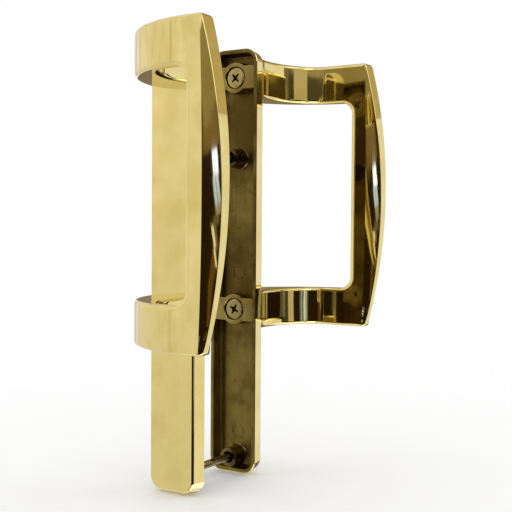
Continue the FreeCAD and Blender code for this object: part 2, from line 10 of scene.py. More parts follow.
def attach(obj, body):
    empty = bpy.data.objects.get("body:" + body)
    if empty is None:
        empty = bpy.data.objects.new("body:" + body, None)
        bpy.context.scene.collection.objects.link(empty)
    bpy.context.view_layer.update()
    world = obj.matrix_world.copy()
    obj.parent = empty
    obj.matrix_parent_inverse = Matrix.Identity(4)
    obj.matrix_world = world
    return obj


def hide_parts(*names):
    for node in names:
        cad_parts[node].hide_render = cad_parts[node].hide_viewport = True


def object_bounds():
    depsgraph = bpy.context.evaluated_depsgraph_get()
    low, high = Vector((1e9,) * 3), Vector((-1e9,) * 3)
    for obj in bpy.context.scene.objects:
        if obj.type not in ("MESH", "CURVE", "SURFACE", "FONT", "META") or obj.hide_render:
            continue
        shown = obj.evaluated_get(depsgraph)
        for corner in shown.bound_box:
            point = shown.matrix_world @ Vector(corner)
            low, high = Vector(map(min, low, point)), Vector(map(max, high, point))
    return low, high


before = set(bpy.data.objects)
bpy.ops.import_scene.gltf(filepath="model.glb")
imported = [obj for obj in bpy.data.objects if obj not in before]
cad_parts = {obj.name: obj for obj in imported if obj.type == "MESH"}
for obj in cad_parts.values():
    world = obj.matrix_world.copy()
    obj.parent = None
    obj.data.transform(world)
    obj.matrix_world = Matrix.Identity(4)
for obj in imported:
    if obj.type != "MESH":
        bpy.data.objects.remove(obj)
cad_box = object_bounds()

# lengths are in millimetres up to the meshes, which are in metres
MM = 0.001

# camera: the focal length is in pixels, angles are in radians, clipping is in metres
FOCAL_PX, FRAME_PX = 980.56, 512
SENSOR = 36.0
TURN, PITCH, ROLL = 0.57681, 0.03306, -0.00675
DISTANCE, ASIDE, HEIGHT = 532.50, 25.81, 21.70
CLIP_START, CLIP_END = 0.01, 50.0


def make_camera():
    """A camera at the photograph's viewing angle."""
    st, ct = math.sin(TURN), math.cos(TURN)
    sp, cp = math.sin(PITCH), math.cos(PITCH)
    eye = Vector((DISTANCE * st + ASIDE * ct, -DISTANCE * ct + ASIDE * st, HEIGHT)) * MM
    ahead = Vector((-st * cp, ct * cp, -sp))
    level_up = Vector((-st * sp, ct * sp, cp))
    level_right = Vector((ct, st, 0.0))
    cr, sr = math.cos(ROLL), math.sin(ROLL)
    right = level_right * cr - level_up * sr
    up = level_up * cr + level_right * sr
    data = bpy.data.cameras.new("camera")
    data.sensor_width = SENSOR
    data.lens = FOCAL_PX / FRAME_PX * SENSOR
    data.clip_start = CLIP_START
    data.clip_end = CLIP_END
    camera = bpy.data.objects.new("camera", data)
    bpy.context.scene.collection.objects.link(camera)
    basis = Matrix((right, up, -ahead)).transposed().to_4x4()
    camera.matrix_world = Matrix.Translation(eye) @ basis
    bpy.context.scene.camera = camera


# materials

# sockets of the Mix node, which have the same names for numbers and for colours
MIX_FACTOR, MIX_A, MIX_B, MIX_RESULT = 0, 6, 7, 2
# nearly all values of a noise lie between these
NOISE_LOW, NOISE_HIGH = 0.3, 0.7


class Graph:
    """Adds nodes to a tree and links them."""

    def __init__(self, tree):
        self.tree = tree
        tree.nodes.clear()

    def feed(self, socket, value):
        """Link a socket to another one, or set it to a number or a colour."""
        if isinstance(value, bpy.types.NodeSocket):
            self.tree.links.new(value, socket)
        else:
            socket.default_value = value

    def add(self, kind, inputs=None):
        node = self.tree.nodes.new(kind)
        for key, value in (inputs or {}).items():
            self.feed(node.inputs[key], value)
        return node

    def where(self):
        """The place on the object, in metres."""
        return self.add("ShaderNodeTexCoord").outputs["Object"]

    def math(self, operation, a, b):
        node = self.tree.nodes.new("ShaderNodeMath")
        node.operation = operation
        self.feed(node.inputs[0], a)
        self.feed(node.inputs[1], b)
        return node.outputs[0]

    def ramp(self, value, low, high):
        """0 below low, 1 above high, smooth between."""
        node = self.add("ShaderNodeMapRange", {"Value": value, "From Min": low, "From Max": high})
        node.interpolation_type = "SMOOTHSTEP"
        return node.outputs["Result"]

    def spread(self, noise, low, high):
        """A noise's values spread from low to high."""
        node = self.add("ShaderNodeMapRange", {
            "Value": noise, "From Min": NOISE_LOW, "From Max": NOISE_HIGH, "To Min": low, "To Max": high,
        })
        return node.outputs["Result"]

    def mix(self, factor, a, b):
        """Colour a where the factor is 0, and b where it is 1."""
        node = self.tree.nodes.new("ShaderNodeMix")
        node.data_type = "RGBA"
        for index, value in ((MIX_FACTOR, factor), (MIX_A, a), (MIX_B, b)):
            self.feed(node.inputs[index], value)
        return node.outputs[MIX_RESULT]

    def noise(self, where, scale, detail, roughness):
        inputs = {"Vector": where, "Scale": scale, "Detail": detail, "Roughness": roughness}
        return self.add("ShaderNodeTexNoise", inputs).outputs["Fac"]

    def patches(self, where, scale, detail, roughness, low, high):
        """A mask that is 1 in the patches where a noise is above high."""
        return self.ramp(self.noise(where, scale, detail, roughness), low, high)

    def bump(self, height, strength, distance):
        inputs = {"Height": height, "Strength": strength, "Distance": distance}
        return self.add("ShaderNodeBump", inputs).outputs["Normal"]

    def metal(self, colour, rough, normal):
        inputs = {"Base Color": colour, "Metallic": 1.0, "Roughness": rough, "Normal": normal}
        return self.add("ShaderNodeBsdfPrincipled", inputs)

    def glow(self, colour):
        self.finish(self.add("ShaderNodeEmission", {"Color": colour, "Strength": 1.0}))

    def finish(self, shader, output="ShaderNodeOutputMaterial"):
        self.add(output, {0: shader.outputs[0]})


def new_material(name):
    material = bpy.data.materials.new(name)
    material.use_nodes = True
    return material, Graph(material.node_tree)


def opaque(colour):
    return (*colour, 1.0)


def shaded(colour, shares):
    return tuple(value * share for value, share in zip(colour, shares))


# noises: features a metre, detail, roughness, and for patches where their edge starts and ends
CLOUD_PATCHES = (55.0, 4.0, 0.55, 0.35, 0.7)
STAIN_PATCHES = (31.0, 3.0, 0.5, 0.5, 0.72)
SPOT_PATCHES = (95.0, 4.0, 0.6, 0.55, 0.7)
LINE_PATCHES = (520.0, 2.0, 0.5, 0.4, 0.7)
FINE_NOISE = (900.0, 2.0, 0.6)
SWELL_NOISE = (24.0, 1.5, 0.4)
BLOTCH_NOISE = (70.0, 6.0, 0.62)
BROAD_NOISE = (18.0, 2.0, 0.5)
GRAIN_NOISE = (1400.0, 3.0, 0.6)
SMALL_NOISE = (420.0, 4.0, 0.6)
# bumps: strength, height in metres
SWELL_BUMP = (0.35, 0.0020)
GRAIN_BUMP = (0.3, 0.0002)
SMALL_BUMP = (0.2, 0.0001)

BRASS = (0.77, 0.64, 0.265)
BRASS_DEEP = (0.69, 0.555, 0.195)
POLISH = (0.045, 0.075)
COAT = {"Coat Weight": 0.25, "Coat Roughness": 0.03}

# where the mean of a fine and a broad noise passes from the dark colour to the light one
CAST_EDGE = (0.4, 0.62)
STAIN_SHADE, STAIN_SHARE = (0.55, 0.55, 0.55), 0.6
SPOT_SHADE, SPOT_SHARE = (1.25, 0.85, 0.8), 0.5
LINE_STRETCH, LINE_SHARE = (1.0, 1.0, 0.05), 0.22

# dark colour, light colour, least roughness, most roughness
CAST = ((0.130, 0.084, 0.018), (0.345, 0.250, 0.064), 0.34, 0.46)
BOSS = ((0.085, 0.052, 0.018), (0.230, 0.165, 0.060), 0.16, 0.30)
# painted light: the ribs are a lighter copy of the tray's cast brass, for the light on the raised ribs;
# their stains and scoring are the metal's own
RIB_LIT = ((0.31, 0.225, 0.062), (0.47, 0.36, 0.115), 0.26, 0.36)
SCREW = ((0.38, 0.29, 0.105), (0.53, 0.42, 0.175), 0.24, 0.36)
# painted shade: the cross recesses' near-black colour stands in for the shade inside them
RECESS_SHADE = ((0.05, 0.035, 0.015), (0.10, 0.075, 0.03), 0.4, 0.55)
BOLT = ((0.12, 0.09, 0.037), (0.25, 0.19, 0.083), 0.25, 0.4)


def polished_material(name):
    """Polished, lacquered brass with a faint swell in its surface."""
    material, graph = new_material(name)
    where = graph.where()
    colour = graph.mix(graph.patches(where, *CLOUD_PATCHES), opaque(BRASS), opaque(BRASS_DEEP))
    rough = graph.spread(graph.noise(where, *FINE_NOISE), *POLISH)
    shader = graph.metal(colour, rough, graph.bump(graph.noise(where, *SWELL_NOISE), *SWELL_BUMP))
    for socket, value in COAT.items():
        shader.inputs[socket].default_value = value
    graph.finish(shader)
    return material


def cast_material(name, low, high, rough_low, rough_high):
    """Dull metal as it left the mould, stained, spotted and finely scored."""
    material, graph = new_material(name)
    where = graph.where()
    blotch = graph.noise(where, *BLOTCH_NOISE)
    broad = graph.noise(where, *BROAD_NOISE)
    mean = graph.math("ADD", graph.math("MULTIPLY", blotch, 0.5), graph.math("MULTIPLY", broad, 0.5))
    colour = graph.mix(graph.ramp(mean, *CAST_EDGE), opaque(low), opaque(high))
    stained = opaque(shaded(low, STAIN_SHADE))
    stains = graph.math("MULTIPLY", graph.patches(where, *STAIN_PATCHES), STAIN_SHARE)
    colour = graph.mix(stains, colour, stained)
    spots = graph.math("MULTIPLY", graph.patches(where, *SPOT_PATCHES), SPOT_SHARE)
    colour = graph.mix(spots, colour, opaque(shaded(low, SPOT_SHADE)))
    stretched = graph.add("ShaderNodeMapping", {"Vector": where, "Scale": LINE_STRETCH}).outputs[0]
    lines = graph.math("MULTIPLY", graph.patches(stretched, *LINE_PATCHES), LINE_SHARE)
    colour = graph.mix(lines, colour, stained)
    rough = graph.spread(blotch, rough_low, rough_high)
    grain = graph.noise(where, *GRAIN_NOISE)
    graph.finish(graph.metal(colour, rough, graph.bump(grain, *GRAIN_BUMP)))
    return material


def small_material(name, low, high, rough_low, rough_high):
    """The metal of the screws and bolts, and the painted shade in their cross recesses."""
    material, graph = new_material(name)
    patch = graph.noise(graph.where(), *SMALL_NOISE)
    colour = graph.mix(graph.ramp(patch, NOISE_LOW, NOISE_HIGH), opaque(low), opaque(high))
    rough = graph.spread(patch, rough_low, rough_high)
    graph.finish(graph.metal(colour, rough, graph.bump(patch, *SMALL_BUMP)))
    return material


# meshes
def link_mesh(name, points, faces, materials):
    """An object from points in metres."""
    mesh = bpy.data.meshes.new(name)
    mesh.from_pydata(points, [], faces)
    for material in materials:
        mesh.materials.append(material)
    thing = bpy.data.objects.new(name, mesh)
    bpy.context.scene.collection.objects.link(thing)
    return thing


def place(piece, node=None):
    """Fix a piece to the body; where `node` is given, that node is hidden and the piece stands for it.
    """
    if node:
        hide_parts(node)
    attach(piece, "root")


# sizes that the pulls, the plates, the screws and the bolts share, as in the part's source
DOOR_HALF = 23.75
PLATE_HALF_X, PLATE_HALF_Z = 15.25, 119.0
PLATE_DEPTH, PLATE_CORNER = 8.4, 8.0
BOSS_REACH = 4.0
DRAFT_ANGLE = math.radians(9.0)
DRAFT = math.tan(DRAFT_ANGLE)
UPPER_SCREW, LOWER_SCREW = 103.3, -26.7
UPPER_BOLT, LOWER_BOLT = 58.3, -110.0

# pull: s is the way along the arms and across the grip, h the height over the door's face
ARM = 21.8
PULL_TOP, PULL_BOTTOM = UPPER_SCREW + ARM / 2, LOWER_SCREW - ARM / 2
SILL_TOP = UPPER_SCREW - ARM / 2
FRONT, THICK = 60.4, 9.3
BACK = FRONT - THICK
FOOT_INSET = 0.4
FOOT_HALF = PLATE_HALF_X - PLATE_DEPTH * DRAFT - FOOT_INSET
# where the outer sweep, the inner hook and the window start, and the window's corner radius
SWEEP_X, HOOK_X, WINDOW_X, WINDOW_CORNER = 47.0, 31.0, 46.0, 6.5
# radii of the inner side's two arcs
THROAT, HOOK = 42.0, 13.5
# the grip's side at its ends, and how far it bows out between them
END_X, BOW = 55.8, 10.4
MID_Z, HALF_Z = (PULL_TOP + PULL_BOTTOM) / 2, (PULL_TOP - PULL_BOTTOM) / 2
BOW_R = (HALF_Z ** 2 + BOW ** 2) / (2 * BOW)
BOW_X = END_X + BOW - BOW_R
SWEEP_R = ((FRONT - PLATE_DEPTH) ** 2 + (SWEEP_X + FOOT_HALF) ** 2) / (2 * (FRONT - PLATE_DEPTH))
SWEEP_H = FRONT - SWEEP_R
BETA_HOOK = math.asin((SWEEP_X - HOOK_X) / SWEEP_R)
BETA_FOOT = math.atan2(SWEEP_X + FOOT_HALF, PLATE_DEPTH - SWEEP_H)
ARM_LENGTH = SWEEP_R * (BETA_FOOT - BETA_HOOK)
FOOT_S = HOOK_X - ARM_LENGTH
# the fillet between the pull's ends and its bowed side, and the edges' roundings
END_FILLET = 2.4
END_ROUND, CREST_ROUND, SILL_ROUND, GRIP_ROUND = 1.9, 0.3, 2.1, 4.2
# facets: width and drop in the middle and their changes to the ends, hollow, overrun past the crest
FACET_WIDTH, FACET_NARROWING = 9.4, 8.6
FACET_DROP, FACET_LEAN, FACET_END_DROP = 1.2, 1.35, 0.45
FACET_HOLLOW, FACET_OVERRUN = 0.035, 1.3
# the least way from an edge's rounding to the crease, in a facet and without one
FACET_GAP, PLAIN_GAP = 0.3, 0.5
# an arm's crease that lies as close as this to the window's rounding moves to the middle
NARROW_SIDE = 0.4
SLOPE_STEP = 0.02

# steps of the grid along the pull and across it
ARM_STEPS, SHOULDER_STEPS, FILLET_STEPS, BOW_STEPS, GRIP_STEPS = 96, 10, 10, 28, 100
RINGS, FACET_ROWS, PLAIN_ROWS = 7, 10, 4

Arc = namedtuple("Arc", "x h radius first last")
Edge = namedtuple("Edge", "place normal round faceted crease")
Column = namedtuple(
    "Column", "outer outer_normal outer_round window window_normal window_round faceted crease"
)
Row = namedtuple("Row", "s z turn side round")


def inner_arcs():
    """The hooked inner side as two arcs, from the grip to the foot."""
    hook_h = BACK - HOOK
    gap_x, gap_h = HOOK_X - FOOT_HALF, hook_h - PLATE_DEPTH
    gap = math.hypot(gap_x, gap_h)
    along = (THROAT ** 2 - (THROAT - HOOK) ** 2 + gap ** 2) / (2 * gap)
    aside = math.sqrt(THROAT ** 2 - along ** 2)
    tx = FOOT_HALF + (along * gap_x + aside * gap_h) / gap
    th = PLATE_DEPTH + (along * gap_h - aside * gap_x) / gap
    meet = math.atan2(hook_h - th, HOOK_X - tx)
    foot = math.atan2(PLATE_DEPTH - th, FOOT_HALF - tx)
    return Arc(HOOK_X, hook_h, HOOK, math.pi / 2, meet), Arc(tx, th, THROAT, meet, foot)


HOOK_ARC, THROAT_ARC = inner_arcs()


def sweep(arc):
    """The shorter signed turn from an arc's first angle to its last."""
    return (arc.last - arc.first + math.pi) % (2 * math.pi) - math.pi


def outer_skin(s):
    """Point and outward normal (x, h) of the outer side at s."""
    if s >= SWEEP_X:
        return (s, FRONT), (0.0, 1.0)
    beta = math.asin((SWEEP_X - s) / SWEEP_R) if s >= HOOK_X else BETA_HOOK + (HOOK_X - s) / SWEEP_R
    sb, cb = math.sin(beta), math.cos(beta)
    return (SWEEP_X - SWEEP_R * sb, SWEEP_H + SWEEP_R * cb), (-sb, cb)


def inner_skin(s):
    """The same for the inner side, whose normal points into the finger gap."""
    if s >= HOOK_X:
        return (s, BACK), (0.0, -1.0)
    lengths = [abs(sweep(arc)) * arc.radius for arc in (HOOK_ARC, THROAT_ARC)]
    run = (HOOK_X - s) / ARM_LENGTH * sum(lengths)
    arc = HOOK_ARC if run <= lengths[0] else THROAT_ARC
    if arc is THROAT_ARC:
        run -= lengths[0]
    angle = arc.first + math.copysign(run / arc.radius, sweep(arc))
    ca, sa = math.cos(angle), math.sin(angle)
    return (arc.x + arc.radius * ca, arc.h + arc.radius * sa), (-ca, -sa)


# how much deeper the middle of each side's facet is
DEEPER = {outer_skin: 0.4, inner_skin: -0.4}


def crest(z):
    """x of the grip's bowed edge at z."""
    return BOW_X + math.sqrt(BOW_R ** 2 - (z - MID_Z) ** 2)


def facet_size(z):
    """Width and drop of a facet at z."""
    t = (z - MID_Z) / HALF_Z
    return FACET_WIDTH - FACET_NARROWING * t * t, FACET_DROP - FACET_LEAN * t + FACET_END_DROP * t * t


def facet_drop(x, z, deeper):
    """How far a facet lies below the grip's face."""
    width, drop = facet_size(z)
    drop += deeper * (1 - ((z - MID_Z) / HALF_Z) ** 2)
    q = (x - (crest(z) - width)) / (FACET_OVERRUN * width)
    if q <= 0:
        return 0.0
    hollow = 4 * FACET_HOLLOW * FACET_OVERRUN * math.hypot(width, drop) * q * max(0.0, 1 - q)
    return FACET_OVERRUN * drop * q + hollow * width / math.hypot(width, drop)


def facet_slope(x, z, deeper):
    """How fast the drop grows with x and with z."""
    e = SLOPE_STEP
    x = max(x, crest(z) - facet_size(z)[0] + 2 * e)
    return (
        (facet_drop(x + e, z, deeper) - facet_drop(x - e, z, deeper)) / (2 * e),
        (facet_drop(x, z + e, deeper) - facet_drop(x, z - e, deeper)) / (2 * e),
    )


def ease(value):
    """0 up to 0, 1 from 1, smooth between."""
    value = min(1.0, max(0.0, value))
    return value * value * (3 - 2 * value)


def outer_edge(shoulder, low):
    """The outer edge from the shoulder at x over the end's fillet and down the bow to z = low."""
    fx = BOW_X + math.sqrt((BOW_R - END_FILLET) ** 2 - (PULL_TOP - END_FILLET - MID_Z) ** 2)
    fz = PULL_TOP - END_FILLET
    tilt = math.atan2(fz - MID_Z, fx - BOW_X)
    top_z = MID_Z + BOW_R * math.sin(tilt)
    top_x = crest(top_z) - max(facet_size(top_z)[0], CREST_ROUND + FACET_GAP)
    edge = []
    for i in range(SHOULDER_STEPS):
        where = (shoulder + (fx - shoulder) * i / SHOULDER_STEPS, PULL_TOP)
        edge.append(Edge(where, (0.0, 1.0), END_ROUND, False, None))
    for i in range(FILLET_STEPS):
        a = math.pi / 2 + (tilt - math.pi / 2) * i / FILLET_STEPS
        where = (fx + END_FILLET * math.cos(a), fz + END_FILLET * math.sin(a))
        fade = END_ROUND + (CREST_ROUND - END_ROUND) * ease(i / FILLET_STEPS)
        crease = (fx + (top_x - fx) * i / FILLET_STEPS, fz + (top_z - fz) * i / FILLET_STEPS)
        edge.append(Edge(where, (math.cos(a), math.sin(a)), fade, False, crease))
    last = math.asin((low - MID_Z) / BOW_R)
    for i in range(BOW_STEPS + 1):
        a = tilt + (last - tilt) * i / BOW_STEPS
        where = (BOW_X + BOW_R * math.cos(a), MID_Z + BOW_R * math.sin(a))
        edge.append(Edge(where, (math.cos(a), math.sin(a)), CREST_ROUND, True, None))
    return edge


def mirrored(column):
    """A column's mirror image in the other half of the pull's height."""
    (outer_x, outer_z), (normal_x, normal_z) = column.outer, column.outer_normal
    (window_x, window_z), (window_nx, window_nz) = column.window, column.window_normal
    return column._replace(
        outer=(outer_x, 2 * MID_Z - outer_z), outer_normal=(normal_x, -normal_z),
        window=(window_x, 2 * MID_Z - window_z), window_normal=(window_nx, -window_nz),
        crease=column.crease and (column.crease[0], 2 * MID_Z - column.crease[1]),
    )


def pull_columns():
    """The grid's columns round the C of the two arms and the grip, from the upper foot to the lower."""
    columns = []
    turn_x, turn_z = WINDOW_X - WINDOW_CORNER, SILL_TOP - WINDOW_CORNER
    for i in range(ARM_STEPS):
        s = FOOT_S + (turn_x - FOOT_S) * i / ARM_STEPS
        columns.append(
            Column((s, PULL_TOP), (0, 1), END_ROUND, (s, SILL_TOP), (0, 1), SILL_ROUND, False, None)
        )
    edges = outer_edge(turn_x, turn_z)
    for i, edge in enumerate(edges):
        share = i / (len(edges) - 1)
        a = math.pi / 2 * (1 - share)
        window = (turn_x + WINDOW_CORNER * math.cos(a), turn_z + WINDOW_CORNER * math.sin(a))
        window_round = SILL_ROUND + (GRIP_ROUND - SILL_ROUND) * ease(share)
        columns.append(Column(
            edge.place, edge.normal, edge.round, window, (math.cos(a), math.sin(a)), window_round,
            edge.faceted, edge.crease,
        ))
    half = columns[:]
    for i in range(1, GRIP_STEPS):
        z = turn_z + (2 * MID_Z - 2 * turn_z) * i / GRIP_STEPS
        a = math.asin((z - MID_Z) / BOW_R)
        normal = (math.cos(a), math.sin(a))
        columns.append(
            Column((crest(z), z), normal, CREST_ROUND, (WINDOW_X, z), (1, 0), GRIP_ROUND, True, None)
        )
    columns += [mirrored(column) for column in reversed(half)]
    return columns


def between(start, end, share):
    """The point at a share of the way from start to end."""
    return start[0] + (end[0] - start[0]) * share, start[1] + (end[1] - start[1]) * share


def column_rows(column):
    """The points down one column, from the outer edge over the crease to the window."""
    outer, on, outer_round, window, wn, window_round, faceted, crease = column
    rows = []
    for k in range(RINGS + 1):
        turn = math.pi / 2 * k / RINGS
        d = outer_round * (1 - math.cos(turn))
        rows.append(Row(outer[0] - on[0] * d, outer[1] - on[1] * d, turn, on, outer_round))
    last = rows[-1]
    if faceted:
        crease = (outer[0] - max(facet_size(outer[1])[0], outer_round + FACET_GAP), outer[1])
    elif crease is None:
        reach = outer_round + PLAIN_GAP
        crease = (outer[0] - on[0] * reach, outer[1] - on[1] * reach)
    near = (window[0] + wn[0] * window_round, window[1] + wn[1] * window_round)
    if not faceted and abs(crease[1] - near[1]) < NARROW_SIDE:
        crease = ((last.s + near[0]) / 2, (last.z + near[1]) / 2)
    flat = math.pi / 2
    for f in range(1, FACET_ROWS + 1):
        rows.append(Row(*between((last.s, last.z), crease, f / FACET_ROWS), flat, on, 0.0))
    for g in range(1, PLAIN_ROWS):
        rows.append(Row(*between(crease, near, g / PLAIN_ROWS), flat, on, 0.0))
    side = (-wn[0], -wn[1])
    for k in range(RINGS, -1, -1):
        turn = math.pi / 2 * k / RINGS
        d = window_round * (1 - math.cos(turn))
        rows.append(Row(window[0] + wn[0] * d, window[1] + wn[1] * d, turn, side, window_round))
    return rows


def pull_piece(half, outward, material):
    """One pull: the grid laid over its outer and its inner side, and closed at its edges and feet."""
    columns = pull_columns()
    grid = [column_rows(column) for column in columns]
    n, m = len(grid), len(grid[0])
    crease_row = RINGS + FACET_ROWS
    skins = (outer_skin, inner_skin)
    points = []
    for skin in skins:
        for rows in grid:
            for s, z, turn, _, radius in rows:
                (x, h), (nx, nh) = skin(s)
                drop = radius * (1 - math.sin(turn))
                if s > WINDOW_X:
                    drop += facet_drop(s, z, DEEPER[skin])
                height = max(h - nh * drop, PLATE_DEPTH)
                points.append((x - nx * drop, outward * (DOOR_HALF + height), z))

    def skin_normal(skin, i, j, in_facet):
        row = grid[i][j]
        _, (nx, nh) = skin(row.s)
        if in_facet and columns[i].faceted:
            sx, sz = facet_slope(row.s, row.z, DEEPER[skin])
            v = Vector((nx + sx, nh, sz)).normalized()
        else:
            v = Vector((nx, nh, 0.0))
        edge = Vector((row.side[0], 0.0, row.side[1]))
        v = (edge * math.cos(row.turn) + v * math.sin(row.turn)).normalized()
        return (v.x, outward * v.y, v.z)

    def index(layer, i, j):
        return layer * n * m + i * m + j

    faces, normals = [], []

    def face(corners, vectors):
        """Add a face, turned so that it looks the way its corner normals do."""
        a, b, c, d = (Vector(points[k]) for k in corners)
        looks = (c - a).cross(d - b)
        if looks.dot(sum((Vector(v) for v in vectors), Vector())) < 0:
            corners, vectors = corners[::-1], vectors[::-1]
        faces.append(corners)
        normals.extend(vectors)

    for layer, skin in enumerate(skins):
        for i in range(n - 1):
            for j in range(m - 1):
                spots = [(i, j), (i + 1, j), (i + 1, j + 1), (i, j + 1)]
                corners = [index(layer, a, b) for a, b in spots]
                face(corners, [skin_normal(skin, a, b, j < crease_row) for a, b in spots])
    for j in (0, m - 1):
        for i in range(n - 1):
            spots = [(0, i), (1, i), (1, i + 1), (0, i + 1)]
            sides = [grid[a][j].side for _, a in spots]
            face([index(layer, a, j) for layer, a in spots], [(x, 0.0, z) for x, z in sides])
    for i in (0, n - 1):
        for j in range(m - 1):
            spots = [(0, j), (1, j), (1, j + 1), (0, j + 1)]
            face([index(layer, i, b) for layer, b in spots], [(0.0, -outward, 0.0)] * 4)

    piece = link_mesh(f"{half}_pull_fine", [Vector(p) * MM for p in points], faces, [material])
    mesh = piece.data
    mesh.polygons.foreach_set("use_smooth", [True] * len(mesh.polygons))
    mesh.update()
    mesh.normals_split_custom_set(normals)
    place(piece, f"{half}_pull")


# plates: depths are measured from the door's face outwards
FLOOR = 6.2
WALL = 2.2
FRONT_ROUND, FLOOR_ROUND = 1.15, 0.9
RIM_BREAK_OUT, RIM_BREAK_IN = 0.25, 0.2
LEAST_CORNER = 0.4
CORNER_STEPS, WALL_STEPS = 14, 8
ROUND_STEPS = 48
# the cone seat for a bolt's head
SEAT_MOUTH, SEAT_DEPTH, SEAT_BORE, SEAT_OVERLAP = 4.3, 1.7, 2.6, 0.2
# edges above so many degrees stay sharp
PLATE_SHARP, RIB_SHARP, BOSS_SHARP = 35.0, 40.0, 38.0
MARK_SHARP, SCREW_SHARP, BOLT_SHARP = 60.0, 30.0, 45.0

# ribs: half height, boss's radius, half length
RIB_TOP = 0.7
RIB_HALF, RIB_BOSS, RIB_REACH = 6.4, 8.6, 13.3
RIB_END_STEPS, RIB_SIDE_STEPS, RIB_BOSS_STEPS = 10, 8, 20
# a rib's outer levels from its foot, which is sunk in the floor: (depth, how far they lie inwards)
RIB_FOOT = ((FLOOR + 0.3, -0.7), (FLOOR - 0.5, -0.15))
RIB_EDGE = ((RIB_TOP + 0.55, 0.0), (RIB_TOP + 0.16, 0.16), (RIB_TOP, 0.55))
COUNTERBORE, COUNTERBORE_BREAK, COUNTERBORE_EDGE = 6.4, 6.75, 0.3

# bosses: the interior half's bores are clear, the exterior half's are threaded
BOSS_BORES = {1.0: 3.0, -1.0: 2.2}
BOSS_TOP, BOSS_BREAK, BOSS_FLARE, BOSS_BOTTOM = -BOSS_REACH, -3.55, 0.35, FLOOR - 0.05
# (radius, depth) from a boss's end face round its edge and down to the fillet at its foot
BOSS_OUTSIDE = (
    (4.85, BOSS_TOP), (5.17, -3.87), (5.3, BOSS_BREAK),
    (5.3, FLOOR - 0.9), (5.5, FLOOR - 0.35), (6.2, FLOOR + 0.1),
)
# rings that the mould leaves: (way from the ridge's middle, height over the floor)
MARK_RIDGE = ((-0.45, -0.1), (-0.38, 0.08), (-0.15, 0.28), (0.15, 0.28), (0.38, 0.08), (0.45, -0.1))
# name, z and radius
MARKS = (("gate_mark", 31.0, 11.3), ("pin_mark_upper", -6.0, 3.6), ("pin_mark_lower", -97.0, 3.6))

# screws: the head from its top's edge down as (radius, way below the top), then the shank
SEAT = 3.8
HEAD_TOP = SEAT - 2.6
HEAD = ((4.95, 0.0), (5.3, 0.06), (5.56, 0.22), (5.7, 0.5))
HEAD_FOOT = ((5.7, SEAT - 0.1), (5.6, SEAT))
SHANK = ((2.4, SEAT), (2.4, SEAT + 17.5), (1.9, SEAT + 18.0))
HEAD_STEPS = 56
# cross recesses: width over all, a wing's width, flare at the middle; then depth and taper
CROSS_SOFT, CROSS_SLIGHT = 0.25, 0.1
SCREW_CROSS, SCREW_CROSS_DEPTH, SCREW_CROSS_TAPER = (6.0, 1.15, 0.42), 1.6, 0.62
BOLT_CROSS, BOLT_CROSS_DEPTH, BOLT_CROSS_TAPER = (4.6, 0.9, 0.32), 1.4, 0.6
SCREW_TURNS = {"upper": math.radians(45.0), "lower": math.radians(28.0)}

# bolts: the thread runs from THREAD_START to the tip, and fades in and out over some rows
BOLT_HEAD, BOLT_RADIUS, BOLT_HEAD_DEPTH = 4.2, 2.1, 2.1
BOLT_HOLD = 7.5
BOLT_TIP = -(2 * DOOR_HALF - BOSS_REACH + BOLT_HOLD)
THREAD_START, THREAD_LEAD, THREAD_PITCH, THREAD_DEPTH = -22.0, 0.4, 0.8, 0.3
THREAD_ROWS_A_TURN, THREAD_FADE_ROWS = 6, 8
BOLT_SIDES = 24


class Shell:
    """Collects closed loops of points, in millimetres, and the faces between them."""

    def __init__(self):
        self.points = []
        self.faces = []
        self.kinds = []

    def loop(self, points):
        start = len(self.points)
        self.points.extend(points)
        return list(range(start, len(self.points)))

    def add(self, face, kind):
        self.faces.append(tuple(face))
        self.kinds.append(kind)

    def bridge(self, one, other, kind=0):
        count = len(one)
        for i in range(count):
            k = (i + 1) % count
            self.add((one[i], one[k], other[k], other[i]), kind)

    def stack(self, loops, kind=0):
        """Bridge each loop to the next; gives the first and the last."""
        for one, other in zip(loops, loops[1:]):
            self.bridge(one, other, kind)
        return loops[0], loops[-1]

    def cap(self, loop, holes=(), kind=0):
        if not holes:
            self.add(loop, kind)
            return
        rings = [loop, *holes]
        flat = [index for ring in rings for index in ring]
        outline = [[Vector((self.points[i][0], self.points[i][2], 0.0)) for i in ring] for ring in rings]
        for triangle in tessellate_polygon(outline):
            self.add([flat[i] for i in triangle], kind)

    def piece(self, name, materials, sharp):
        """The finished object; edges above `sharp` degrees stay sharp."""
        piece = link_mesh(name, [Vector(p) * MM for p in self.points], self.faces, materials)
        mesh = piece.data
        mesh.polygons.foreach_set("material_index", self.kinds)
        build = bmesh.new()
        build.from_mesh(mesh)
        bmesh.ops.recalc_face_normals(build, faces=build.faces)
        build.to_mesh(mesh)
        build.free()
        mesh.polygons.foreach_set("use_smooth", [True] * len(mesh.polygons))
        mesh.set_sharp_from_angle(angle=math.radians(sharp))
        weighted = piece.modifiers.new("weighted", "WEIGHTED_NORMAL")
        weighted.keep_sharp = True
        return piece


def at_depth(outward, h):
    """y of the depth h on the half that lies towards `outward`."""
    return outward * (DOOR_HALF + h)


def plate_loop(outward, inset, h):
    """A rounded rectangle, `inset` inside the rim's outline, at depth h."""
    hx, hz = PLATE_HALF_X - inset, PLATE_HALF_Z - inset
    radius = max(LEAST_CORNER, PLATE_CORNER - inset)
    points = []
    for cx, cz, first in ((1, 1, 0), (-1, 1, 90), (-1, -1, 180), (1, -1, 270)):
        for i in range(CORNER_STEPS + 1):
            a = math.radians(first + 90 * i / CORNER_STEPS)
            points.append((
                cx * (hx - radius) + radius * math.cos(a),
                at_depth(outward, h),
                cz * (hz - radius) + radius * math.sin(a),
            ))
    return points


def ring_loop(outward, radius, h, z, steps=ROUND_STEPS):
    """A circle about a screw's or bolt's axis at height z, at depth h."""
    angles = [2 * math.pi * i / steps for i in range(steps)]
    return [(radius * math.cos(a), at_depth(outward, h), z + radius * math.sin(a)) for a in angles]


